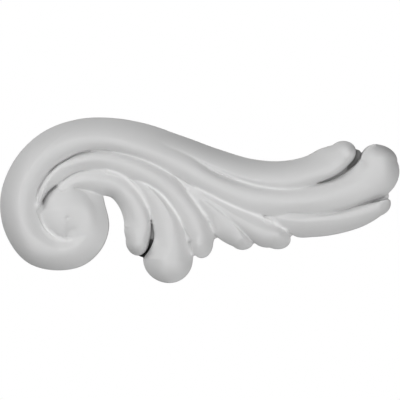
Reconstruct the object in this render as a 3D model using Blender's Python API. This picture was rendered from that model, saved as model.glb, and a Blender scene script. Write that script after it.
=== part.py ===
# Scroll onlay: a cast acanthus scroll that springs from one volute, made to be fixed flat on a face.
# It is one solid with a flat back. Seen from the front x runs right, z runs up, and the relief
# stands out of the back plane y = 0 towards -y.

from collections import namedtuple
from math import cos, radians, sin

import bmesh
import bpy
import numpy as np

# Driving sizes in metres.
LENGTH = 0.216
DEPTH = 0.016
RIM_DRAFT = 0.00025
BED_HEIGHT = 0.009
HOLLOW_HEIGHT = 0.0035
GAP_FLOOR = 0.003
PIN_RADIUS = 0.0008
PIN_DEPTH = 0.0004

# Fineness of the facets.
ROW_STEP = 0.0044
SIDE_STEPS = 5
TIP_STEPS = 6
PIN_SIDES = 12

# The carving is drawn in thousandths of the length, and heights in hundredths of the depth.
SHARE = LENGTH / 1000
RISE = DEPTH / 100
BACK_ALLOWANCE = 0.002
BACK_STAGGER = 0.0002
TRIM_WIDTH = 1.2 * LENGTH
PIN_STANDOFF = 3
WEB_CROWN = 0.98
# Each web stands this much lower than the one before, so that no two tops run level.
WEB_STEP = 0.00007
ROUND = 2
WELD = 0.000001

# A lobe is a rounded leaf or band that follows a line from its root to its tip.
# line: x, z, width left of the line and width right of it.
# sections: number of a row of the line, height of the left edge, of the crest and of the right edge,
# how far the crest leans to the right of the line, and how full the left and right flank stand.
# root and tip: how far the rounded end reaches past the line, and how full it stands.
Lobe = namedtuple("Lobe", "line sections root tip")

# The volute's line is a spiral about the eye that grows by a fixed ratio each quarter turn.
EYE = (-327, -48)
SPIRAL_RADIUS = 43.8
SPIRAL_GROWTH = 1.647
# angle from level right, width outside, width inside.
VOLUTE_TURNS = (
    (88, 53, 20), (62, 54, 20), (36, 65, 20), (10, 54, 23), (-20, 52, 25), (-50, 52, 23),
    (-80, 53, 20), (-110, 55, 26), (-140, 59, 34), (-170, 54, 40), (-200, 51, 40), (-230, 50, 38),
    (-255, 50, 40), (-280, 49, 36),
)
STEM_LINE = (
    (-222, 154, 52, 33), (-151, 134, 59, 30), (-73, 103, 63, 33), (17, 50, 35, 31), (135, 7, 34, 43),
    (251, 2, 34, 40), (346, 22, 33, 51), (404, 50, 38, 62), (424, 66, 40, 69), (437, 84, 42, 68),
    (441, 101, 38, 57),
)
# place of the pin mark in the eye, and the height of the eye there
PIN_MARK = (-333, -45, 98)


def spiral_line():
    """Line of the volute: points on the growing spiral, each with its two widths."""
    line = []
    for angle, outside, inside in VOLUTE_TURNS:
        radius = SPIRAL_RADIUS * SPIRAL_GROWTH ** (-angle / 90)
        x = EYE[0] + radius * cos(radians(angle))
        z = EYE[1] + radius * sin(radians(angle))
        line.append((x, z, outside, inside))
    return tuple(line)


LOBES = {
    "stem and volute": Lobe(
        spiral_line() + STEM_LINE,
        ((0, 65, 80, 65, -3, 1.5, 1.8), (2, 20, 85, 65, -3, 1.3, 2.0), (5, 50, 85, 65, -4, 1.2, 2.4),
         (7, 15, 82, 65, -3, 1.6, 2.0), (9, 20, 98, 68, -2, 1.5, 1.8), (11, 40, 100, 80, 0, 1.1, 2.8),
         (14, 42, 97, 62, 0, 1.3, 2.8), (16, 25, 97, 70, 0, 1.3, 2.4), (17, 55, 97, 70, 0, 2.5, 2.1),
         (19, 62, 98, 65, 7, 2.5, 1.6), (21, 56, 86, 20, -2, 1.5, 2.3), (24, 46, 97, 16, -8, 1.6, 2.5)),
        (25, 1.3), (40, 3.0)),
    "eye": Lobe(
        ((-337, -33, 65, 67), (-310, -40, 60, 61)),
        ((0, 60, 99, 60, -6, 1.5, 2.4), (1, 57, 93, 67, -9, 2.3, 2.1)),
        (60, 2.2), (50, 2.4)),
    "eye tail": Lobe(
        ((-295, -48, 47, 47), (-286, -81, 33, 33)),
        ((0, 60, 91, 68, -5, 2.0, 2.2), (1, 63, 87, 68, 0, 1.5, 2.5)),
        (30, 2.4), (20, 2.6)),
    "upper leaf": Lobe(
        ((-106, 151, 30, 10), (-43, 123, 36, 9), (32, 86, 45, 10), (125, 55, 49, 15), (213, 50, 48, 24),
         (281, 65, 48, 26), (331, 90, 47, 32), (359, 112, 36, 30)),
        ((0, 26, 75, 45, 4, 1.1, 2.4), (2, 17, 76, 72, 0, 1.2, 2.5), (4, 40, 90, 76, 1, 1.4, 2.7),
         (6, 56, 99, 71, 0, 1.2, 3.2), (7, 66, 99, 50, -8, 1.1, 2.0)),
        (20, 1.6), (38, 3.5)),
    "lower leaf": Lobe(
        ((163, -39, 8, 13), (213, -47, 13, 29), (241, -47, 11, 46), (281, -45, 11, 48), (351, -37, 10, 47),
         (412, -24, 12, 39), (446, -13, 9, 28)),
        ((0, 46, 66, 62, -4, 1.4, 1.1), (2, 70, 80, 18, 6, 3.0, 1.1), (4, 60, 88, 35, 8, 4.5, 1.4),
         (6, 86, 90, 48, 0, 4.5, 1.7)),
        (10, 3.4), (35, 1.2)),
    "long leaflet": Lobe(
        ((-11, 22, 9, 13), (35, -5, 14, 20), (85, -37, 21, 24), (138, -68, 29, 31), (163, -80, 29, 39),
         (188, -91, 28, 32)),
        ((0, 68, 78, 66, 0, 1.1, 2.9), (2, 75, 91, 69, 0, 1.1, 2.6), (4, 61, 86, 32, 0, 1.9, 1.9),
         (5, 50, 85, 36, -3, 2.3, 1.5)),
        (15, 1.8), (42, 1.6)),
    "short leaflet": Lobe(
        ((-1, 2, 10, 14), (35, -28, 15, 25), (70, -58, 16, 45), (87, -76, 17, 42), (104, -92, 16, 34)),
        ((0, 40, 78, 66, -2, 2.5, 1.7), (1, 42, 90, 63, -3, 2.7, 1.9), (3, 42, 82, 26, -4, 2.7, 1.9),
         (4, 34, 76, 31, 2, 2.3, 1.9)),
        (15, 2.8), (37, 1.3)),
    "third finger": Lobe(
        ((-406, -13, 6, 8), (-392, 32, 14, 21), (-357, 75, 13, 28), (-307, 98, 17, 27), (-252, 108, 18, 35),
         (-191, 94, 23, 35), (-141, 70, 30, 28), (-93, 37, 35, 23), (-51, -8, 34, 24), (-8, -73, 35, 28),
         (2, -91, 34, 29), (4, -108, 29, 27)),
        ((0, 68, 91, 56, 3, 1.1, 1.2), (2, 66, 80, 62, 2, 1.7, 1.2), (4, 51, 84, 51, 6, 2.1, 1.5),
         (6, 64, 98, 72, -1, 2.1, 2.0), (8, 66, 95, 70, -6, 2.0, 1.9), (10, 52, 90, 66, 2, 1.4, 1.8),
         (11, 58, 98, 60, 8, 1.6, 1.7)),
        (13, 1.1), (39, 1.5)),
    "second finger": Lobe(
        ((-161, 47, 8, 12), (-134, 25, 14, 21), (-106, -8, 22, 29), (-88, -48, 33, 33), (-78, -96, 45, 37),
         (-77, -121, 59, 46), (-78, -146, 63, 66)),
        ((0, 66, 76, 60, -5, 1.1, 1.2), (2, 76, 91, 62, -10, 1.1, 2.0), (3, 72, 92, 60, -12, 1.5, 2.1),
         (5, 43, 93, 56, -3, 1.7, 1.4), (6, 46, 98, 27, 6, 2.3, 1.6)),
        (13, 1.5), (63, 2.2)),
    "first finger": Lobe(
        ((-347, 32, 13, 13), (-320, 49, 18, 19), (-282, 55, 20, 31), (-242, 51, 22, 39), (-204, 34, 27, 35),
         (-176, 6, 28, 37), (-158, -30, 30, 39), (-149, -68, 26, 43), (-152, -86, 28, 40),
         (-154, -101, 26, 34)),
        ((0, 50, 65, 72, 8, 2.4, 1.8), (1, 45, 66, 58, 8, 2.2, 1.5), (4, 67, 84, 22, 0, 2.2, 1.6),
         (5, 70, 88, 25, -3, 2.1, 1.8), (7, 72, 88, 47, -5, 2.3, 1.6), (9, 62, 98, 35, -1, 2.5, 1.5)),
        (13, 1.6), (39, 2.0)),
}

# Low webs fill in behind the creases between lobes, and close the floor of the two open gaps.
# Each is a height and a line of x, z, half width.
WEBS = (
    (BED_HEIGHT, ((-350, -42, 54), (-325, -46, 58), (-300, -50, 55))),
    (BED_HEIGHT, ((-400, -40, 12), (-392, -5, 14), (-365, 32, 14), (-335, 52, 14), (-290, 62, 12))),
    (BED_HEIGHT, ((-230, 78, 22), (-150, 48, 34), (-95, 4, 34), (-56, -55, 26), (-25, -110, 15),
                  (-16, -134, 9))),
    (BED_HEIGHT, ((-90, 66, 20), (-20, 24, 24), (50, -22, 20), (120, -55, 20), (190, -62, 12))),
    (BED_HEIGHT, ((-6, -10, 10), (22, -62, 9), (36, -91, 7))),
    (BED_HEIGHT, ((85, -55, 12), (112, -80, 10), (131, -105, 7))),
    (BED_HEIGHT, ((120, -20, 12), (165, -34, 12), (205, -60, 9), (226, -86, 7))),
    (HOLLOW_HEIGHT, ((150, -30, 14), (230, -32, 12), (310, -34, 10), (380, -22, 12), (425, -7, 12),
                     (464, 10, 12))),
    (GAP_FLOOR, ((-119, -45, 5), (-122, -91, 15), (-144, -128, 17))),
    (GAP_FLOOR, ((316, 50, 8), (371, 83, 13), (394, 115, 13))),
)


# Columns of a whole row, after its place x and z.
LEFT, RIGHT, LEFT_EDGE, CREST, RIGHT_EDGE, LEAN, LEFT_FULL, RIGHT_FULL = range(2, 10)


def whole_rows(lobe):
    """Rows of x, z, both widths and the six section values, worked in between the key sections."""
    line = np.array(lobe.line, float)
    keys = np.array(lobe.sections, float)
    number = np.arange(len(line))
    columns = [np.interp(number, keys[:, 0], column) for column in keys[:, 1:].T]
    return np.column_stack([line] + columns)


def smooth_rows(rows, step):
    """Points every step along a smooth curve through the rows, with all their columns carried."""
    chords = np.hypot(*(rows[1:, :2] - rows[:-1, :2]).T)
    along = np.concatenate([[0], np.cumsum(chords)])
    slopes = (rows[1:] - rows[:-1]) / chords[:, None]
    tangents = np.empty_like(rows)
    weights = chords[:, None]
    blend = weights[1:] + weights[:-1]
    tangents[1:-1] = (slopes[1:] * weights[:-1] + slopes[:-1] * weights[1:]) / blend
    tangents[0] = slopes[0] * 2 - tangents[1] if len(rows) > 2 else slopes[0]
    tangents[-1] = slopes[-1] * 2 - tangents[-2] if len(rows) > 2 else slopes[-1]
    places = np.linspace(0, along[-1], max(3, int(round(along[-1] / step)) + 1))
    cell = np.clip(np.searchsorted(along, places, side="right") - 1, 0, len(chords) - 1)
    span = chords[cell][:, None]
    t = ((places - along[cell]) / chords[cell])[:, None]
    from_point = (2 * t**3 - 3 * t**2 + 1) * rows[cell] + (t**3 - 2 * t**2 + t) * span * tangents[cell]
    to_point = (3 * t**2 - 2 * t**3) * rows[cell + 1] + (t**3 - t**2) * span * tangents[cell + 1]
    return from_point + to_point


def ways(points):
    """Unit tangents and left-hand normals of a line of points."""
    tangent = np.gradient(points, axis=0)
    tangent /= np.linalg.norm(tangent, axis=1)[:, None]
    return tangent, np.stack([-tangent[:, 1], tangent[:, 0]], 1)


def ring_order(row_count):
    """Row number of every ring, and how far along a rounded end it stands: -1 root, 0, 1 tip."""
    angles = np.radians(np.linspace(0, 90, TIP_STEPS + 1))[1:-1]
    onward = np.concatenate([-np.sin(angles)[::-1], np.zeros(row_count), np.sin(angles)])
    order = np.clip(np.arange(len(onward)) - len(angles), 0, row_count - 1)
    return order, onward


def plan_points(row, tangent, normal, onward, lobe, across, draft):
    """Points of each ring in plan, for shares across from -1 on the left to 1 on the right."""
    reach = np.where(onward < 0, lobe.root[0], lobe.tip[0]) - draft
    middle = row[:, :2] + tangent * (onward * reach)[:, None]
    lean = row[:, LEAN, None]
    half = np.where(across < 0, row[:, LEFT, None] + lean, row[:, RIGHT, None] - lean) - draft
    offset = (lean + across * half) * np.sqrt(1 - onward ** 2)[:, None]
    return middle[:, None, :] - normal[:, None, :] * offset[..., None]


def ring_heights(row, onward, lobe, across):
    """Height over each ring: edge + (crest - edge) * (1 - |across| ** fullness), faded to the ends."""
    fade = 1 - np.abs(onward) ** np.where(onward < 0, lobe.root[1], lobe.tip[1])
    flank = 1 - np.abs(across) ** np.where(across < 0, row[:, LEFT_FULL, None], row[:, RIGHT_FULL, None])
    left, right = row[:, LEFT_EDGE, None], row[:, RIGHT_EDGE, None]
    edge = left + (right - left) * (across + 1) / 2
    return edge + (row[:, CREST, None] - edge) * flank * fade[:, None]


def lobe_mesh(lobe, back):
    """Closed loft of one lobe: back edge, upright rim and a rounded crest, from root to tip."""
    rows = smooth_rows(whole_rows(lobe), ROW_STEP / SHARE)
    tangent, normal = ways(rows[:, :2])
    order, onward = ring_order(len(rows))
    row, tangent, normal = rows[order], tangent[order], normal[order]
    across = np.sin(np.radians(np.linspace(-90, 90, 2 * SIDE_STEPS + 1)))
    draft = RIM_DRAFT / SHARE
    top = plan_points(row, tangent, normal, onward, lobe, across, draft)
    foot = plan_points(row, tangent, normal, onward, lobe, np.array([-1, 1]), 0)
    height = ring_heights(row, onward, lobe, across)
    rings = []
    for low, high, rise in zip(foot, top, height):
        ring = [(low[0], -back)]
        ring += [(point, up * RISE) for point, up in zip(high, rise)]
        ring += [(low[1], -back)]
        rings.append(ring)
    points = []
    for i, reach, inward in ((0, -lobe.root[0], -draft), (-1, lobe.tip[0], draft)):
        low = row[i, :2] + tangent[i] * reach
        high = row[i, :2] + tangent[i] * (reach - inward)
        points.append((low, high, (row[i, LEFT_EDGE] + row[i, RIGHT_EDGE]) / 2 * RISE))
    return loft(rings, points, back)


def loft(rings, points, back):
    """Skin the rings with quads and close both ends in a point, down to a flat underside."""
    bm = bmesh.new()
    layers = [[bm.verts.new((p[0] * SHARE, -y, p[1] * SHARE)) for p, y in ring] for ring in rings]
    for before, after in zip(layers[:-1], layers[1:]):
        for j in range(len(before)):
            k = (j + 1) % len(before)
            bm.faces.new((before[j], after[j], after[k], before[k]))
    for layer, (low, high, shoulder) in zip((layers[0], layers[-1]), points):
        foot = bm.verts.new((low[0] * SHARE, back, low[1] * SHARE))
        peak = bm.verts.new((high[0] * SHARE, -shoulder, high[1] * SHARE))
        for j in range(1, len(layer) - 2):
            bm.faces.new((layer[j], layer[j + 1], peak))
        bm.faces.new((layer[0], layer[1], peak, foot))
        bm.faces.new((layer[-2], layer[-1], foot, peak))
        bm.faces.new((layer[-1], layer[0], foot))
    bmesh.ops.triangulate(bm, faces=bm.faces)
    bmesh.ops.recalc_face_normals(bm, faces=bm.faces)
    return bm


def web_lobe(height, line):
    """A web as a low lobe with a slight crown."""
    level = height / RISE
    edge = WEB_CROWN * level
    sections = ((0, edge, level, edge, 0, ROUND, ROUND),)
    widths = tuple((x, z, half, half) for x, z, half in line)
    return Lobe(widths, sections, (line[0][2], ROUND), (line[-1][2], ROUND))


def new_object(name, bm, collection):
    mesh = bpy.data.meshes.new(name)
    bm.to_mesh(mesh)
    bm.free()
    made = bpy.data.objects.new(name, mesh)
    collection.objects.link(made)
    return made


def join(target, tool, operation):
    """Boolean of tool on target, applied at once."""
    modifier = target.modifiers.new(tool.name, "BOOLEAN")
    modifier.object = tool
    modifier.operation = operation
    modifier.solver = "EXACT"
    depsgraph = bpy.context.evaluated_depsgraph_get()
    depsgraph.update()
    result = bpy.data.meshes.new_from_object(target.evaluated_get(depsgraph))
    target.modifiers.clear()
    target.data = result


def back_trim(collection):
    """Block behind the back plane, wider than the piece, that trims the back flat."""
    bm = bmesh.new()
    bmesh.ops.create_cube(bm, size=1)
    block = new_object("back trim", bm, collection)
    block.scale = (TRIM_WIDTH, DEPTH, TRIM_WIDTH)
    block.location = (0, DEPTH / 2, 0)
    return block


def eye_pin(collection):
    """Small cone, point inwards, that sinks the pin mark in the middle of the eye."""
    bm = bmesh.new()
    tall = PIN_DEPTH * (1 + PIN_STANDOFF)
    bmesh.ops.create_cone(bm, segments=PIN_SIDES, radius1=PIN_RADIUS * (1 + PIN_STANDOFF), radius2=0,
                          depth=tall, cap_ends=True)
    pin = new_object("eye pin", bm, collection)
    x, z, crest = PIN_MARK
    pin.rotation_euler = (radians(-90), 0, 0)
    pin.location = (x * SHARE, PIN_DEPTH - crest * RISE - tall / 2, z * SHARE)
    return pin


def tidy(target):
    """Weld the doubles that the cuts leave, and turn every face into triangles."""
    bm = bmesh.new()
    bm.from_mesh(target.data)
    bmesh.ops.remove_doubles(bm, verts=bm.verts, dist=WELD)
    bmesh.ops.triangulate(bm, faces=bm.faces)
    bmesh.ops.recalc_face_normals(bm, faces=bm.faces)
    bm.to_mesh(target.data)
    bm.free()


def primed_casting():
    """Pale grey primed casting, matt with a slight sheen."""
    material = bpy.data.materials.new("primed casting")
    material.use_nodes = True
    shader = material.node_tree.nodes["Principled BSDF"]
    shader.inputs["Base Color"].default_value = (0.62, 0.62, 0.62, 1)
    shader.inputs["Roughness"].default_value = 0.5
    return material


def scroll_onlay(kept, tools):
    """Join the webs and then the lobes on them, trim the back flat and sink the pin mark."""
    shapes = []
    for index, (height, line) in enumerate(WEBS):
        shapes.append(("web", web_lobe(height - WEB_STEP * index, line)))
    shapes += LOBES.items()
    onlay = None
    for index, (name, lobe) in enumerate(shapes):
        bm = lobe_mesh(lobe, BACK_ALLOWANCE + BACK_STAGGER * index)
        if onlay is None:
            onlay = new_object("scroll_onlay", bm, kept)
        else:
            join(onlay, new_object(name, bm, tools), "UNION")
    join(onlay, back_trim(tools), "DIFFERENCE")
    join(onlay, eye_pin(tools), "DIFFERENCE")
    tidy(onlay)
    onlay.data.materials.clear()
    onlay.data.materials.append(primed_casting())
    return onlay


def main():
    for old in list(bpy.data.objects):
        bpy.data.objects.remove(old, do_unlink=True)
    kept = bpy.data.collections.new("scroll onlay")
    tools = bpy.data.collections.new("cutters")
    bpy.context.scene.collection.children.link(kept)
    bpy.context.scene.collection.children.link(tools)
    scroll_onlay(kept, tools)
    for tool in tools.objects:
        tool.hide_render = True
        tool.display_type = "WIRE"


main()
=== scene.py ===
# Scroll onlay, cast and primed, seen straight from the front on white.
from math import atan, cos, radians, sin

import bmesh
import bpy
import numpy as np
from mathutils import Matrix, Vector


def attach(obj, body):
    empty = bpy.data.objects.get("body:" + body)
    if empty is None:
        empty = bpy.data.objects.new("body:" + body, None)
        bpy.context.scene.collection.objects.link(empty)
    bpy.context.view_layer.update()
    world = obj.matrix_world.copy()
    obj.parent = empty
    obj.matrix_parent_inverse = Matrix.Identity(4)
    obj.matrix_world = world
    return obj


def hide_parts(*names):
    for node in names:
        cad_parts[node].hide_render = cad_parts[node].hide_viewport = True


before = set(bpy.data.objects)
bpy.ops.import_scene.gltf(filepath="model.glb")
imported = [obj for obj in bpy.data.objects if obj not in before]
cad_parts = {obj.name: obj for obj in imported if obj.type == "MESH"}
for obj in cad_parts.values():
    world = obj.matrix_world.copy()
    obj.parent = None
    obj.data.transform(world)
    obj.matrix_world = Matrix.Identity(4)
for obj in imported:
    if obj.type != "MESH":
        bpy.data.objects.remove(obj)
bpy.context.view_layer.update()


# small helpers
def srgb(hexColour):
    # linear RGBA of an sRGB hex colour: channel / 12.92 in the darks, a power of 2.4 above them
    channels = np.array([int(hexColour[i:i + 2], 16) for i in (0, 2, 4)]) / 255
    linear = np.where(channels <= 0.04045, channels / 12.92, ((channels + 0.055) / 1.055) ** 2.4)
    return tuple(linear.tolist()) + (1.0,)


def addNode(tree, kind, settings=None, inputs=None, links=None):
    # one node with its settings, socket values and incoming links
    node = tree.nodes.new(kind)
    for name, value in (settings or {}).items():
        setattr(node, name, value)
    for name, value in (inputs or {}).items():
        node.inputs[name].default_value = value
    for name, socket in (links or {}).items():
        tree.links.new(socket, node.inputs[name])
    return node


def addObject(name, data):
    # an object of the scene that holds a mesh, a lamp or the camera
    made = bpy.data.objects.new(name, data)
    bpy.context.scene.collection.objects.link(made)
    return made


# the casting: every lobe is a section carried along its line, root to tip
# line: x, z, width left of it, width right of it, in thousandths of the length
# sections: number of a row of the line, heights of the left edge, the crest and the right edge in
# hundredths of the depth, how far the crest leans right, like the widths, and fullness left and right
# root and tip: how far the rounded end reaches past the line, and its fullness
onlay = {
    "length": 0.216,
    "depth": 0.016,
    "rimDraft": 0.00025,    # how far the top of the rim stands in from its foot
    "rowStep": 0.0006,      # metres between the sections along a lobe
    "sideSteps": 22,        # facets from crest to edge
    "tipSteps": 20,         # sections round each end
    "tipAngle": 89,         # degrees that each end is carried round, just short of a point
    "fullnessRange": (1.02, 9),     # limits of the power that rounds a section
    "voxel": 0.00035,       # grain of the joined skin
    "softening": 3,         # smoothing passes over the whole skin
    "softeningStrength": 0.5,
    "creaseFill": 16,       # passes that fill the creases, as primer does
    "triangles": 190000,    # of the finished skin
    "backAllowance": 0.002,     # how far the shells run past the back plane before they are cut on it
    "backTolerance": 1e-6,      # how near the back plane a point counts as lying on it
    # the volute's line: a spiral about the eye, wider by the growth each quarter turn
    "eye": (-327, -48),
    "spiralRadius": 43.8,
    "spiralGrowth": 1.647,
    # angle from level right, width outside, width inside
    "voluteTurns": (
        (88, 53, 20), (62, 54, 20), (36, 68, 20), (10, 54, 23), (-20, 52, 25), (-50, 52, 23),
        (-80, 54, 20), (-110, 54.5, 26), (-140, 60.5, 34), (-170, 56, 40), (-200, 52.5, 40),
        (-230, 49.5, 38), (-255, 50.6, 40), (-280, 50.3, 36)),
    "stemLine": (
        (-222, 154, 53, 33), (-151, 134, 60.5, 30), (-73, 103, 60, 33), (17, 50, 33, 31),
        (135, 7, 36, 43), (251, 2, 34, 40), (346, 22, 33, 51), (404, 50, 39.5, 63),
        (424, 66, 41, 71), (437, 84, 43, 69), (441, 101, 38, 56)),
    "stem": {
        "sections": (
            (0, 65, 80, 65, -3, 1.5, 1.8), (2, 20, 85, 65, -3, 1.3, 2.0), (5, 50, 85, 65, -4, 1.2, 2.4),
            (7, 15, 82, 65, -3, 1.6, 2.0), (8, 10, 91, 66, -2, 2.0, 1.9), (9, 20, 98, 68, -2, 1.5, 1.8),
            (11, 40, 100, 80, 0, 1.1, 2.8), (14, 42, 97, 62, 0, 1.3, 2.8), (16, 25, 97, 70, 0, 1.3, 2.4),
            (17, 55, 97, 70, 0, 2.5, 2.1), (19, 62, 98, 65, 7, 2.5, 1.6), (21, 56, 90, 46, -2, 1.5, 2.2),
            (23, 60, 97, 36, -6, 1.8, 2.4), (24, 72, 96, 38, -4, 2.0, 2.3)),
        "root": (25, 1.3), "tip": (40, 2.3)},
    "leaves": {
        "eye": {
            "line": ((-337, -33, 65, 68), (-312, -38, 60, 63), (-292, -56, 45, 45), (-286, -81, 33, 33)),
            "sections": (
                (0, 60, 99, 60, -6, 1.5, 2.4), (1, 56, 94, 67, -10, 2.3, 2.1), (3, 63, 87, 68, 0, 1.5, 2.5)),
            "root": (60, 2.2), "tip": (20, 2.6)},
        "upperLeaf": {
            "line": ((-106, 151, 30, 10), (-43, 123, 36, 9), (32, 86, 45, 10), (125, 55, 49, 15),
                     (213, 50, 49, 24), (281, 65, 48, 26), (331, 90, 48, 30), (359, 112, 36.5, 28)),
            "sections": (
                (0, 26, 75, 45, 4, 1.1, 2.4), (2, 17, 76, 72, 0, 1.2, 2.5), (4, 40, 90, 76, 1, 1.4, 2.7),
                (5, 48, 95, 66, 0, 1.3, 3.0), (6, 56, 98, 54, 0, 1.3, 4.5), (7, 66, 90, 44, -6, 2.0, 4.0)),
            "root": (20, 1.6), "tip": (38, 3.5)},
        "lowerLeaf": {
            "line": ((163, -39, 8, 13), (213, -47, 13, 29), (241, -47, 11, 46), (281, -45, 11, 49),
                     (351, -37, 10, 47), (412, -24, 12, 38.5), (446, -13, 9, 28.5)),
            "sections": (
                (0, 40, 50, 44, -4, 1.4, 1.1), (1, 64, 76, 48, 2, 2.5, 1.1), (2, 70, 80, 24, 6, 3.0, 1.1),
                (4, 60, 88, 35, 8, 4.5, 1.4), (6, 86, 90, 48, 0, 4.5, 1.7)),
            "root": (10, 3.4), "tip": (35, 1.2)},
        "longLeaflet": {
            "line": ((-11, 22, 9, 13), (35, -5, 14, 20), (85, -37, 21, 24), (138, -68, 29, 31),
                     (163, -80, 29, 39), (188, -91, 28, 32)),
            "sections": (
                (0, 68, 78, 66, 0, 1.1, 2.9), (2, 75, 91, 69, 0, 1.1, 2.6), (4, 61, 86, 32, 0, 1.9, 1.9),
                (5, 50, 85, 36, -3, 2.3, 1.5)),
            "root": (15, 1.8), "tip": (42, 1.6)},
        "shortLeaflet": {
            "line": ((-1, 2, 10, 14), (35, -28, 15, 25), (70, -58, 16, 45), (87, -76, 17, 41),
                     (104, -92, 16, 33)),
            "sections": (
                (0, 40, 78, 66, -2, 2.5, 1.7), (1, 42, 90, 63, -3, 2.7, 1.9), (3, 42, 82, 26, -4, 2.7, 1.9),
                (4, 34, 76, 31, 2, 2.3, 1.9)),
            "root": (15, 2.8), "tip": (36, 1.3)},
        "thirdFinger": {
            "line": ((-406, -13, 6, 8), (-392, 32, 14, 21), (-357, 75, 13, 28), (-307, 98, 17, 27),
                     (-252, 108, 18, 35), (-191, 94, 23, 35), (-141, 70, 30, 28), (-93, 37, 35, 23),
                     (-51, -8, 34, 24), (-8, -73, 35, 28), (2, -91, 34, 29), (4, -108, 29, 27)),
            "sections": (
                (0, 68, 91, 56, 3, 1.1, 1.2), (2, 66, 80, 62, 2, 1.7, 1.2), (4, 51, 84, 51, 6, 2.1, 1.5),
                (6, 64, 98, 72, -1, 2.1, 2.0), (8, 66, 95, 70, -6, 2.0, 1.9), (10, 52, 90, 66, 2, 1.4, 1.8),
                (11, 58, 94, 60, 8, 1.6, 1.9)),
            "root": (13, 1.1), "tip": (39, 1.5)},
        "secondFinger": {
            "line": ((-190, 61, 5, 6), (-161, 47, 8, 12), (-134, 25, 14, 21), (-106, -8, 22, 29),
                     (-88, -48, 33, 35), (-78, -96, 45, 40), (-77, -121, 57, 49), (-78, -150, 59.5, 66)),
            "sections": (
                (0, 48, 54, 50, 0, 1.5, 1.5), (1, 60, 74, 60, -5, 1.1, 1.2), (3, 76, 91, 62, -10, 1.1, 2.0),
                (4, 72, 92, 60, -12, 1.5, 2.1), (6, 43, 93, 56, -3, 1.7, 1.4), (7, 46, 98, 27, 6, 2.3, 1.6)),
            "root": (13, 1.5), "tip": (60, 2.2)},
        "firstFinger": {
            "line": ((-347, 32, 13, 13), (-320, 49, 18, 19), (-282, 55, 20, 31), (-242, 51, 22, 39),
                     (-204, 34, 27, 35), (-176, 6, 28, 37), (-158, -30, 30, 39), (-149, -68, 26, 43),
                     (-152, -86, 28, 40), (-154, -101, 28, 34)),
            "sections": (
                (0, 50, 65, 72, 8, 2.4, 1.8), (1, 45, 66, 58, 8, 2.2, 1.5), (4, 67, 84, 22, 0, 2.2, 1.6),
                (5, 70, 88, 25, -3, 2.1, 1.8), (7, 60, 88, 47, -5, 3.0, 1.6), (9, 30, 92, 32, -1, 3.4, 2.0)),
            "root": (13, 1.6), "tip": (40, 2.8)},
    },
    # low webs that close the floors of the creases and gaps: height in hundredths of the depth,
    # then x, z and half width
    "webEdge": 0.98,        # height of a web's edges against its crest
    "webFullness": 2,
    "webs": (
        (58, ((-350, -42, 54), (-325, -46, 56), (-312, -50, 44))),
        (63, ((-345, -90, 14), (-318, -93, 15))),
        (72, ((-330, -82, 10), (-312, -84, 12))),
        (56, ((-400, -40, 12), (-392, -5, 14), (-365, 32, 14), (-335, 52, 14), (-290, 62, 12))),
        (58, ((-230, 78, 22), (-150, 48, 34), (-95, 4, 34), (-60, -50, 20))),
        (60, ((-66, -42, 16), (-40, -84, 10), (-31, -100, 7))),
        (52, ((-44, -76, 12), (-25, -110, 9), (-17, -134, 7))),
        (60, ((-90, 66, 20), (-20, 24, 24), (50, -22, 20), (120, -55, 20), (190, -62, 12))),
        (62, ((-6, -10, 10), (16, -50, 8))),
        # lit floors of the creases between the fingers and above the leaflets
        (74, ((8, 22, 4), (53, 0, 5), (104, -23, 5), (150, -42, 5), (180, -55, 4))),
        (64, ((160, -46, 5), (190, -60, 5))),
        (54, ((168, -50, 5), (200, -65, 5), (217, -77, 4))),
        (72, ((-150, 44, 4), (-112, 25, 4), (-89, 5, 4), (-73, -17, 4), (-56, -40, 4))),
        (71, ((-235, 71, 4), (-190, 56, 4), (-158, 27, 4), (-145, 8, 4), (-130, -20, 4))),
        (70, ((-32, 22, 4), (-20, 6, 4), (1, -23, 4), (17, -42, 4))),
        # deeper floors between the tips, under the stem's edge and in the two open gaps
        (26, ((16, -50, 9), (24, -65, 8), (37, -91, 7))),
        (26, ((85, -55, 12), (112, -80, 9), (131, -105, 7))),
        (56, ((120, -20, 12), (165, -36, 12))),
        (24, ((155, -40, 12), (195, -54, 8), (226, -86, 7))),
        (9, ((150, -30, 14), (230, -32, 12), (310, -34, 10), (380, -22, 12))),
        (24, ((380, -22, 12), (425, -7, 12), (464, 10, 12))),
        (26, ((-119, -45, 5), (-118, -70, 7), (-119, -92, 9))),
        (26, ((300, 42, 5), (330, 54, 7), (362, 76, 10))),
        (6, ((-119, -45, 5), (-122, -91, 15), (-144, -128, 17))),
        (6, ((316, 50, 8), (371, 83, 13), (394, 115, 13)))),
    # the finger gap, the upper gap and the undercut, where shadow is painted at the bottom: x, z, half width
    # and how dark that painted shadow is
    "gaps": (
        ((-121, -62, 4, 0.05), (-119, -91, 9, 0.35), (-128, -117, 13, 0.95), (-142, -140, 14, 1)),
        ((300, 42, 4, 0.1), (345, 61, 7, 0.2), (379, 88, 11, 0.35), (396, 120, 13, 0.35)),
        ((310, -34, 4, 0.1), (378, -21, 6, 0.15), (429, -3, 9, 0.2), (468, 10, 12, 0.2))),
    "gapStep": 2,           # thousandths between the points worked out along a gap's line
    "shadowAcross": (0.7, 1.2),   # painted shadow full up to the first share of the half width, none from the second
    "shadowBelow": 0.0045,     # painted shadow lies below this height above the back
    "shadowFadeOver": 0.002,    # below that, the height over which the painted shadow fades in
    # creases that get a painted highlight, a paler band standing in for the light they catch: x, z and how
    # strong the highlight is there
    "highlightHalf": 3.4,      # half width of the band of painted highlight
    "highlightStep": 3,
    "paintedCreaseHighlight": (
        ((-43, 51, 0.3), (-14, 33, 0.5), (25, 14, 1), (75, -12, 1), (126, -33, 1), (162, -47, 1),
         (205, -68, 1), (228, -85, 0.4)),
        ((-162, 48, 0.3), (-126, 35, 0.9), (-100, 18, 1), (-73, -17, 1), (-56, -40, 0.9), (-38, -70, 0.2)),
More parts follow.
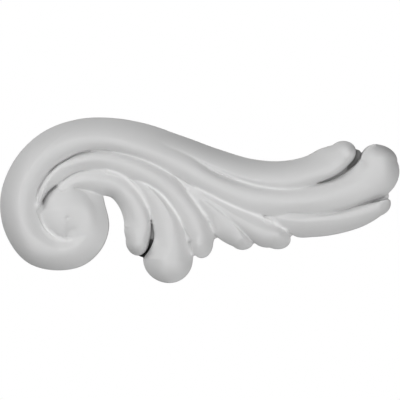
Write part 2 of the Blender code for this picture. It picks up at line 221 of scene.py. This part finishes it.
        ((-222, 121, 0), (-179, 114, 0.1), (-126, 95, 0.4), (-81, 70, 0.5), (-47, 41, 0.7), (-20, 6, 0.8),
         (1, -23, 0.7), (17, -42, 0.5), (28, -66, 0)),
        ((-277, 75, 0), (-235, 75, 0.2), (-201, 64, 0.7), (-164, 31, 1), (-140, -4, 0.8), (-123, -42, 0.3)),
        ((20, 88, 0.3), (75, 60, 0.7), (125, 41, 0.7), (185, 29, 0.5), (246, 30, 0.2), (290, 38, 0)),
        ((-393, -63, 0.6), (-377, -83, 0.8), (-357, -98, 0.7), (-324, -101, 0.5))),
}
share = onlay["length"] / 1000      # unit of places and widths
rise = onlay["depth"] / 100         # unit of heights


def voluteLine():
    # points on the growing spiral, radius * growth ** (quarter turns clockwise), with their two widths
    turns = np.array(onlay["voluteTurns"], float)
    angle = np.radians(turns[:, 0])
    radius = onlay["spiralRadius"] * onlay["spiralGrowth"] ** (-turns[:, 0] / 90)
    x = onlay["eye"][0] + radius * np.cos(angle)
    z = onlay["eye"][1] + radius * np.sin(angle)
    return np.stack([x, z, turns[:, 1], turns[:, 2]], 1)


def smoothRows(rows, step):
    # cubic Hermite curve through the rows, its slope at a row the chord-weighted mean of both sides
    rows = np.array(rows, float)
    chords = np.hypot(*(rows[1:, :2] - rows[:-1, :2]).T)
    along = np.concatenate([[0], np.cumsum(chords)])
    slopes = (rows[1:] - rows[:-1]) / chords[:, None]
    before, after = chords[:-1, None], chords[1:, None]
    inner = (slopes[1:] * before + slopes[:-1] * after) / (before + after)
    first = slopes[:1] * 2 - inner[:1] if len(inner) else slopes[:1]
    last = slopes[-1:] * 2 - inner[-1:] if len(inner) else slopes[-1:]
    tangents = np.concatenate([first, inner, last])
    places = np.linspace(0, along[-1], max(3, int(round(along[-1] / step)) + 1))
    cell = np.clip(np.searchsorted(along, places, side="right") - 1, 0, len(chords) - 1)
    span = chords[cell][:, None]
    t = ((places - along[cell]) / chords[cell])[:, None]
    start = (2 * t**3 - 3 * t**2 + 1) * rows[cell] + (t**3 - 2 * t**2 + t) * span * tangents[cell]
    return start + (3 * t**2 - 2 * t**3) * rows[cell + 1] + (t**3 - t**2) * span * tangents[cell + 1]


def lobeSurface(line, sections, root, tip):
    # sections are filled in evenly between their rows, then row and section run smoothly together
    line, keys = np.array(line, float), np.array(sections, float)
    rowNumber = np.arange(len(line))
    worked = [np.interp(rowNumber, keys[:, 0], column) for column in keys[:, 1:].T]
    smooth = smoothRows(np.column_stack([line] + worked), onlay["rowStep"] / share)
    tangent = np.gradient(smooth[:, :2], axis=0)
    tangent /= np.linalg.norm(tangent, axis=1)[:, None]
    normal = np.stack([-tangent[:, 1], tangent[:, 0]], 1)

    # both ends are quarter ellipses: onward runs from -1 at the root's end to 1 at the tip's end
    angles = np.radians(np.linspace(0, onlay["tipAngle"], onlay["tipSteps"] + 1))[1:]
    order = np.concatenate([np.zeros(len(angles), int), np.arange(len(smooth)),
                            np.full(len(angles), len(smooth) - 1)])
    onward = np.concatenate([-np.sin(angles)[::-1], np.zeros(len(smooth)), np.sin(angles)])[:, None]
    narrow = np.sqrt(1 - onward ** 2)
    fade = 1 - np.abs(onward) ** np.where(onward < 0, root[1], tip[1])
    reach = np.where(onward < 0, root[0], tip[0])

    # height = edge + (crest - edge) * (1 - |across| ** fullness), faded over the ends
    across = np.sin(np.radians(np.linspace(-90, 90, 2 * onlay["sideSteps"] + 1)))[None]
    row, tangent, normal = smooth[order], tangent[order], normal[order]
    left, right, leftEdge, crest, rightEdge, lean, leftFull, rightFull = row[:, 2:].T[:, :, None]
    fullness = np.clip(np.where(across < 0, leftFull, rightFull), *onlay["fullnessRange"])
    edge = leftEdge + (rightEdge - leftEdge) * (across + 1) / 2
    height = edge + (crest - edge) * (1 - np.abs(across) ** fullness) * fade

    # the rim stands a little in from the foot, all round
    draft = onlay["rimDraft"] / share
    ring = np.empty((len(order), across.shape[1] + 2, 3))
    half = np.where(across < 0, left + lean, right - lean) - draft
    offset = (lean + across * half) * narrow
    place = row[:, :2] + tangent * onward * (reach - draft)
    ring[:, 1:-1, 0] = (place[:, :1] - normal[:, :1] * offset) * share
    ring[:, 1:-1, 2] = (place[:, 1:] - normal[:, 1:] * offset) * share
    ring[:, 1:-1, 1] = -height * rise
    foot = row[:, :2] + tangent * onward * reach
    ring[:, 0, ::2] = (foot + normal * left * narrow) * share
    ring[:, -1, ::2] = (foot - normal * right * narrow) * share
    ring[:, ::len(ring[0]) - 1, 1] = onlay["backAllowance"]
    return ring


def webSurface(height, line):
    # a web is a lobe of one even height, round at both ends
    widths = [(x, z, half, half) for x, z, half in line]
    edge, full = height * onlay["webEdge"], onlay["webFullness"]
    even = ((0, edge, height, edge, 0, full, full),)
    return lobeSurface(widths, even, (line[0][2], full), (line[-1][2], full))


def shellFaces(rowCount, ringCount, offset):
    # quads between neighbouring rings, closed round the section, and one cap at each end
    index = np.arange(rowCount * ringCount).reshape(rowCount, ringCount) + offset
    around = np.roll(index, -1, 1)
    quads = np.stack([index[:-1], index[1:], around[1:], around[:-1]], -1).reshape(-1, 4)
    return quads.tolist() + [index[0].tolist(), index[-1][::-1].tolist()]


def castSkin():
    # all lobes and webs as closed shells in one mesh, before they are joined
    stem = {"line": np.concatenate([voluteLine(), onlay["stemLine"]]), **onlay["stem"]}
    rings = [lobeSurface(**lobe) for lobe in [stem, *onlay["leaves"].values()]]
    rings += [webSurface(height, line) for height, line in onlay["webs"]]
    vertices, faces, offset = [], [], 0
    for ring in rings:
        vertices.append(ring.reshape(-1, 3))
        faces += shellFaces(ring.shape[0], ring.shape[1], offset)
        offset += ring.shape[0] * ring.shape[1]
    mesh = bpy.data.meshes.new("castSkin")
    mesh.from_pydata(np.concatenate(vertices), [], faces)
    return mesh


# chisel work over the joined skin: grooves sink and ridges stand, each along a line of x, z
# metres of depth (below zero for a ridge) and of half width, then the line, or one point for a pit
chisel = {
    "keep": 0.003,          # nothing is cut within this height above the back
    "step": 1.5,            # thousandths between the points worked out along a stroke
    "reach": 3,             # half widths from its line where a stroke ends
    "easing": 0.2,          # share of a stroke over which it eases in, and out again
    "strokes": (
        # dark creases between the volute, the third finger and the eye
        (0.0007, 0.0004, ((-410, 10), (-404, 29), (-390, 54), (-377, 71), (-361, 86))),
        (0.0022, 0.0004, ((-384, 63), (-361, 86), (-335, 102), (-315, 113), (-285, 122), (-262, 125))),
        (0.0009, 0.0004, ((-272, 124), (-250, 125.5), (-225, 123))),
        (0.004, 0.0006, ((-398, -14), (-391, 5), (-378, 22), (-364, 34), (-356, 40))),
        (0.0009, 0.0004, ((-356, 40), (-340, 53), (-322, 64), (-302, 72), (-278, 75))),
        # broad ridge and a groove along the lit hollow round the foot of the eye
        (-0.0006, 0.0013, ((-396, -56), (-390, -71), (-382, -81), (-371, -91), (-352, -99), (-326, -102))),
        (0.0004, 0.0008, ((-374, -68), (-367, -80), (-354, -90), (-342, -92))),
        # dark undercut above the lower leaf
        (0.0004, 0.0004, ((205, -32), (240, -33.5), (287, -36))),
        (0.0016, 0.0005, ((287, -37), (326, -35), (359, -28), (397, -16))),
        (0.0012, 0.0005, ((385, -20), (429, -4), (460, 6))),
        # faint ridge on the volute's shoulder
        (-0.00008, 0.0006, ((-437, 50), (-420, 88), (-390, 125), (-352, 158), (-310, 182))),
        # pin mark in the eye
        (0.0008, 0.001, ((-333, -45),)),
    ),
    # places rubbed smooth: x, z and radius
    "rubbed": ((-314, -86, 26), (-406, -20, 14), (-237, 71, 9), (-16, 20, 18), (-6, 8, 12),
               (174, -50, 15)),
    "rubbedFully": 0.5,     # share of the radius within which a place is rubbed fully
    "rubs": 120,
}


def meshPoints(mesh):
    # a row of x, y, z for every point
    points = np.empty(len(mesh.vertices) * 3)
    mesh.vertices.foreach_get("co", points)
    return points.reshape(-1, 3)


def meshEnds(mesh):
    # the numbers of the two points of every edge
    ends = np.empty(len(mesh.edges) * 2, int)
    mesh.edges.foreach_get("vertices", ends)
    return ends.reshape(-1, 2)


def meanAround(ends, count):
    # gives a function: mean at a point = sum of the values at its neighbours / number of neighbours
    here, there = np.ascontiguousarray(np.concatenate([ends, ends[:, ::-1]]).T)
    neighbours = np.maximum(np.bincount(here, minlength=count), 1)
    return lambda values: np.bincount(here, values[there], count) / neighbours


def filledCreases(mesh):
    # height = the greater of itself and the mean around it, pass by pass: hollows fill, ridges stay
    points = meshPoints(mesh)
    mean = meanAround(meshEnds(mesh), len(points))
    high = -points[:, 1]
    for turn in range(onlay["creaseFill"]):
        high = np.maximum(high, mean(high))
    points[:, 1] = -high
    mesh.vertices.foreach_set("co", points.ravel())


def rubbed(mesh):
    # near each place the depth relaxes to the mean around it, fully so towards the middle
    points, ends = meshPoints(mesh), meshEnds(mesh)
    weight = np.zeros(len(points))
    for x, z, radius in chisel["rubbed"]:
        distance = np.hypot(points[:, 0] - x * share, points[:, 2] - z * share) / (radius * share)
        weight = np.maximum(weight, np.clip((1 - distance) / (1 - chisel["rubbedFully"]), 0, 1))
    weight *= points[:, 1] < -chisel["keep"]
    kept, ends = np.unique(ends[(weight[ends] > 0).any(1)], return_inverse=True)
    mean = meanAround(ends.reshape(-1, 2), len(kept))
    deep = points[kept, 1]
    for turn in range(chisel["rubs"]):
        deep += (mean(deep) - deep) * weight[kept]
    points[kept, 1] = deep
    mesh.vertices.foreach_set("co", points.ravel())


def chiselled(mesh):
    # depth * exp(-(distance / half width) ** 2), easing in and out at both ends of the stroke
    points = meshPoints(mesh)
    plan = points[:, ::2]
    push = np.zeros(len(points))
    for depth, half, line in chisel["strokes"]:
        stroke = (smoothRows(line, chisel["step"]) if len(line) > 1 else np.array(line, float)) * share
        margin = chisel["reach"] * half
        inside = (plan > stroke.min(0) - margin) & (plan < stroke.max(0) + margin)
        near = np.flatnonzero(inside.all(1))
        distance = np.linalg.norm(plan[near, None] - stroke[None], axis=2)
        place = distance.argmin(1) / (len(stroke) - 1) if len(line) > 1 else 0.5
        ease = np.clip(np.minimum(place, 1 - place) / chisel["easing"], 0, 1)
        push[near] += depth * np.exp(-(distance.min(1) / half) ** 2) * ease * ease * (3 - 2 * ease)
    points[:, 1] += push * np.clip((-points[:, 1] - chisel["keep"]) / chisel["keep"], 0, 1)
    mesh.vertices.foreach_set("co", points.ravel())


def trimBack(mesh):
    # the casting is flat where it meets the wall: cut the skin on the back plane and close it
    bm = bmesh.new()
    bm.from_mesh(mesh)
    everything = bm.verts[:] + bm.edges[:] + bm.faces[:]
    cut = bmesh.ops.bisect_plane(bm, geom=everything, plane_co=(0, 0, 0), plane_no=(0, 1, 0),
                                 clear_outer=True)
    rim = [part for part in cut["geom_cut"] if isinstance(part, bmesh.types.BMEdge)]
    bmesh.ops.triangle_fill(bm, use_beauty=True, use_dissolve=False, edges=rim, normal=(0, 1, 0))
    bmesh.ops.recalc_face_normals(bm, faces=bm.faces)
    bm.to_mesh(mesh)
    bm.free()


def applied(holder):
    # the holder's mesh with its modifiers worked in
    bpy.context.view_layer.update()
    mesh = bpy.data.meshes.new_from_object(holder.evaluated_get(bpy.context.evaluated_depsgraph_get()))
    bpy.data.objects.remove(holder)
    return mesh


def nearestOn(points, line, step):
    # distance of every point to the smoothed line, and the line's other columns at the nearest place
    stroke = smoothRows(line, step)
    distance = np.linalg.norm(points[:, None, ::2] / share - stroke[None, :, :2], axis=2)
    return distance.min(1), stroke[distance.argmin(1), 2:].T


def keepMark(mesh, name, values):
    # one value for every point, which the material reads by name
    mesh.attributes.new(name, "FLOAT", "POINT").data.foreach_set("value", values)


def markPaintedGapShadow(mesh):
    # painted shadow = the gap's own darkness * how near its line * how far below the height where the
    # painted shadow starts
    points = meshPoints(mesh)
    near = np.zeros(len(points))
    inner, outer = onlay["shadowAcross"]
    for line in onlay["gaps"]:
        distance, (half, darkness) = nearestOn(points, line, onlay["gapStep"])
        near = np.maximum(near, darkness * np.clip((outer - distance / half) / (outer - inner), 0, 1))
    low = np.clip((onlay["shadowBelow"] + points[:, 1]) / onlay["shadowFadeOver"], 0, 1)
    keepMark(mesh, "paintedGapShadow", near * low)


def markPaintedCreaseHighlight(mesh):
    # painted highlight = its strength * exp(-(distance / half width) ** 2), from the nearest of the creases
    points = meshPoints(mesh)
    near = np.zeros(len(points))
    for line in onlay["paintedCreaseHighlight"]:
        distance, (brightness,) = nearestOn(points, line, onlay["highlightStep"])
        near = np.maximum(near, brightness * np.exp(-(distance / onlay["highlightHalf"]) ** 2))
    keepMark(mesh, "paintedCreaseHighlight", near)


def sharpenRim(mesh):
    # every edge on the back plane is sharp, so that the flat back meets the rim crisply
    flat = meshPoints(mesh)[:, 1] > -onlay["backTolerance"]
    sharp = mesh.attributes.new("sharp_edge", "BOOLEAN", "EDGE")
    sharp.data.foreach_set("value", flat[meshEnds(mesh)].all(1))


def buildOnlay():
    # shells joined and softened, then worked by hand, cut flat at the back, thinned and marked
    rough = addObject("castRough", castSkin())
    joined = rough.modifiers.new("joined", "REMESH")
    joined.mode = "VOXEL"
    joined.voxel_size = onlay["voxel"]
    soft = rough.modifiers.new("softened", "SMOOTH")
    soft.factor = onlay["softeningStrength"]
    soft.iterations = onlay["softening"]
    mesh = applied(rough)
    filledCreases(mesh)
    rubbed(mesh)
    chiselled(mesh)
    trimBack(mesh)
    mesh.calc_loop_triangles()
    fine = len(mesh.loop_triangles)
    holder = addObject("castFine", mesh)
    fewer = holder.modifiers.new("fewer", "DECIMATE")
    fewer.ratio = min(1, onlay["triangles"] / fine)
    mesh = applied(holder)
    mesh.name = "scrollOnlay"
    # painted shadow for the gaps and painted highlight for the creases, one value per point
    markPaintedGapShadow(mesh)
    markPaintedCreaseHighlight(mesh)
    mesh.shade_smooth()
    sharpenRim(mesh)
    made = addObject("scrollOnlay", mesh)
    print("onlay skin", fine, "triangles, kept", len(mesh.polygons), "faces")
    return made


# primed polyurethane casting: an even pale grey spray coat, satin, with a fine orange peel
casting = {
    "primer": "D0D0D0",
    "primerThin": "CCCCCC",     # where the coat is thinner, in soft patches
    "creaseHighlightColour": "DFDFDF",   # painted highlight along the creases
    "gapShadowColour": "0C0C0C",        # painted shadow at the bottom of the open gaps
    "backResin": "B4B0A6",      # the flat back is bare, sanded resin
    "patchSize": 0.014,
    "peelSize": 0.0016,         # real peel runs at 0.5 to 1 mm, drawn coarser so that it shows
    "peelDepth": 0.00003,
    "speckSize": 0.0006,
    "speckDepth": 0.00001,
    "roughness": (0.46, 0.56),
    "backFrom": -0.0003,        # everything behind this depth is resin, so the foot of the rim too
    "refraction": 1.5,
}


def primedCasting():
    # colour = primer, thinner in patches, with a painted highlight along the creases, painted shadow at the
    # bottom of the gaps and resin on the back
    # bump = orange peel + fine specks, roughness follows the patches
    coat = bpy.data.materials.new("primedCasting")
    coat.use_nodes = True
    tree = coat.node_tree
    shader = tree.nodes["Principled BSDF"]
    place = addNode(tree, "ShaderNodeTexCoord").outputs["Object"]
    patches, peel, specks = [
        addNode(tree, "ShaderNodeTexNoise", inputs={"Scale": 1 / casting[size], "Detail": detail},
                links={"Vector": place}).outputs["Fac"]
        for size, detail in (("patchSize", 3), ("peelSize", 2), ("speckSize", 1))]

    # each later colour covers the earlier ones as far as its mask says
    paintedCreaseHighlight, paintedGapShadow = [addNode(tree, "ShaderNodeAttribute", {"attribute_name": name}).outputs["Fac"]
                        for name in ("paintedCreaseHighlight", "paintedGapShadow")]
    depth = addNode(tree, "ShaderNodeSeparateXYZ", links={"Vector": place}).outputs["Y"]
    back = addNode(tree, "ShaderNodeMath", {"operation": "GREATER_THAN"}, {1: casting["backFrom"]},
                   {0: depth}).outputs[0]
    factor, under, over, result = 0, 6, 7, 2    # the colour sockets of a Mix node
    layer = addNode(tree, "ShaderNodeMix", {"data_type": "RGBA"},
                    {under: srgb(casting["primer"]), over: srgb(casting["primerThin"])}, {factor: patches})
    # over the patches go a painted highlight along the creases, then a painted shadow at the bottom of the
    # gaps, then the resin of the back
    for cover, mask in (("creaseHighlightColour", paintedCreaseHighlight), ("gapShadowColour", paintedGapShadow), ("backResin", back)):
        layer = addNode(tree, "ShaderNodeMix", {"data_type": "RGBA"}, {over: srgb(casting[cover])},
                        {factor: mask, under: layer.outputs[result]})
    tree.links.new(layer.outputs[result], shader.inputs["Base Color"])

    low, high = casting["roughness"]
    rough = addNode(tree, "ShaderNodeMapRange", inputs={"To Min": low, "To Max": high},
                    links={"Value": patches})
    tree.links.new(rough.outputs["Result"], shader.inputs["Roughness"])
    waves = addNode(tree, "ShaderNodeBump", inputs={"Distance": casting["peelDepth"]},
                    links={"Height": peel})
    grain = addNode(tree, "ShaderNodeBump", inputs={"Distance": casting["speckDepth"]},
                    links={"Height": specks, "Normal": waves.outputs[0]})
    tree.links.new(grain.outputs[0], shader.inputs["Normal"])
    shader.inputs["IOR"].default_value = casting["refraction"]
    return coat


piece = buildOnlay()
piece.data.materials.clear()
piece.data.materials.append(primedCasting())
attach(piece, "root")
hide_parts("scroll_onlay")
print("casting in place")

# stage: a pale floor well below the hung piece, a white surround and soft lamps
studio = {
    "floorSize": 5.0,
    "floorDrop": 0.8,
    "floorColour": "EDEDED",
    "floorRoughness": 0.7,
    "cameraDistance": 2.6,
    "frameWidth": 0.21709,      # metres across the photograph's frame
    "frameDepth": 0.008,        # the plane of that width, in front of the wall
    "aimX": -0.00011,           # where the middle of the frame falls
    "aimZ": -0.00005,
    "seenWhite": 1.0,           # strength of the white that the camera sees round the casting
    "lamps": {                  # angle off the camera's axis, angle round it, distance, size, watts
        "keyUpperLeft": (56, 144, 1.4, 0.45, 7.9),
        "keyLowerRight": (56, 324, 1.25, 0.45, 2.6),
        "front": (6, 90, 2.3, 1.0, 8.6),
        "left": (36, 180, 1.6, 0.6, 3.7),
        "right": (36, 0, 1.6, 0.6, 7.1),
        "top": (56, 100, 1.4, 0.5, 2.3),
        "behind": (150, 90, 1.6, 0.6, 6.0),     # lights only the back, which the photograph doesn't show
    },
}


def buildFloor():
    # one square, centred below the casting
    half = studio["floorSize"] / 2
    z = -studio["floorDrop"]
    corners = [(-half, -half, z), (half, -half, z), (half, half, z), (-half, half, z)]
    mesh = bpy.data.meshes.new("floor")
    mesh.from_pydata(corners, [], [(0, 1, 2, 3)])
    floor = addObject("floor", mesh)
    paint = bpy.data.materials.new("paleFloor")
    paint.use_nodes = True
    shader = paint.node_tree.nodes["Principled BSDF"]
    shader.inputs["Base Color"].default_value = srgb(studio["floorColour"])
    shader.inputs["Roughness"].default_value = studio["floorRoughness"]
    mesh.materials.append(paint)


def buildSurround():
    # the camera sees plain white, and only the lamps light the casting
    world = bpy.data.worlds.new("surround")
    bpy.context.scene.world = world
    world.use_nodes = True
    tree = world.node_tree
    tree.nodes.clear()
    path = addNode(tree, "ShaderNodeLightPath")
    white = {"Color": (1, 1, 1, 1)}
    seen = addNode(tree, "ShaderNodeBackground", inputs={**white, "Strength": studio["seenWhite"]})
    dark = addNode(tree, "ShaderNodeBackground", inputs={**white, "Strength": 0})
    mix = addNode(tree, "ShaderNodeMixShader",
                  links={0: path.outputs["Is Camera Ray"], 1: dark.outputs[0], 2: seen.outputs[0]})
    addNode(tree, "ShaderNodeOutputWorld", links={"Surface": mix.outputs[0]})


def buildLamps():
    # each lamp stands on a ball round the casting and looks at it
    for name, (off, around, distance, size, watts) in studio["lamps"].items():
        off, around = radians(off), radians(around)
        lamp = bpy.data.lights.new(name, "AREA")
        lamp.size = size
        lamp.energy = watts
        holder = addObject(name, lamp)
        towards = Vector((sin(off) * cos(around), -cos(off), sin(off) * sin(around)))
        holder.location = towards * distance
        holder.rotation_mode = "QUATERNION"
        holder.rotation_quaternion = towards.to_track_quat("Z", "Y")
        holder.visible_camera = False


def buildCamera():
    # angle of view = 2 * atan(half the frame's width / its distance), looking level along y
    lens = bpy.data.cameras.new("camera")
    lens.angle = 2 * atan(studio["frameWidth"] / 2 / (studio["cameraDistance"] - studio["frameDepth"]))
    camera = addObject("camera", lens)
    camera.location = (studio["aimX"], -studio["cameraDistance"], studio["aimZ"])
    camera.rotation_euler = (radians(90), 0, 0)
    bpy.context.scene.camera = camera


buildFloor()
buildSurround()
buildLamps()
buildCamera()
bpy.context.scene.view_settings.view_transform = "Standard"
print("stage, lamps and camera set")
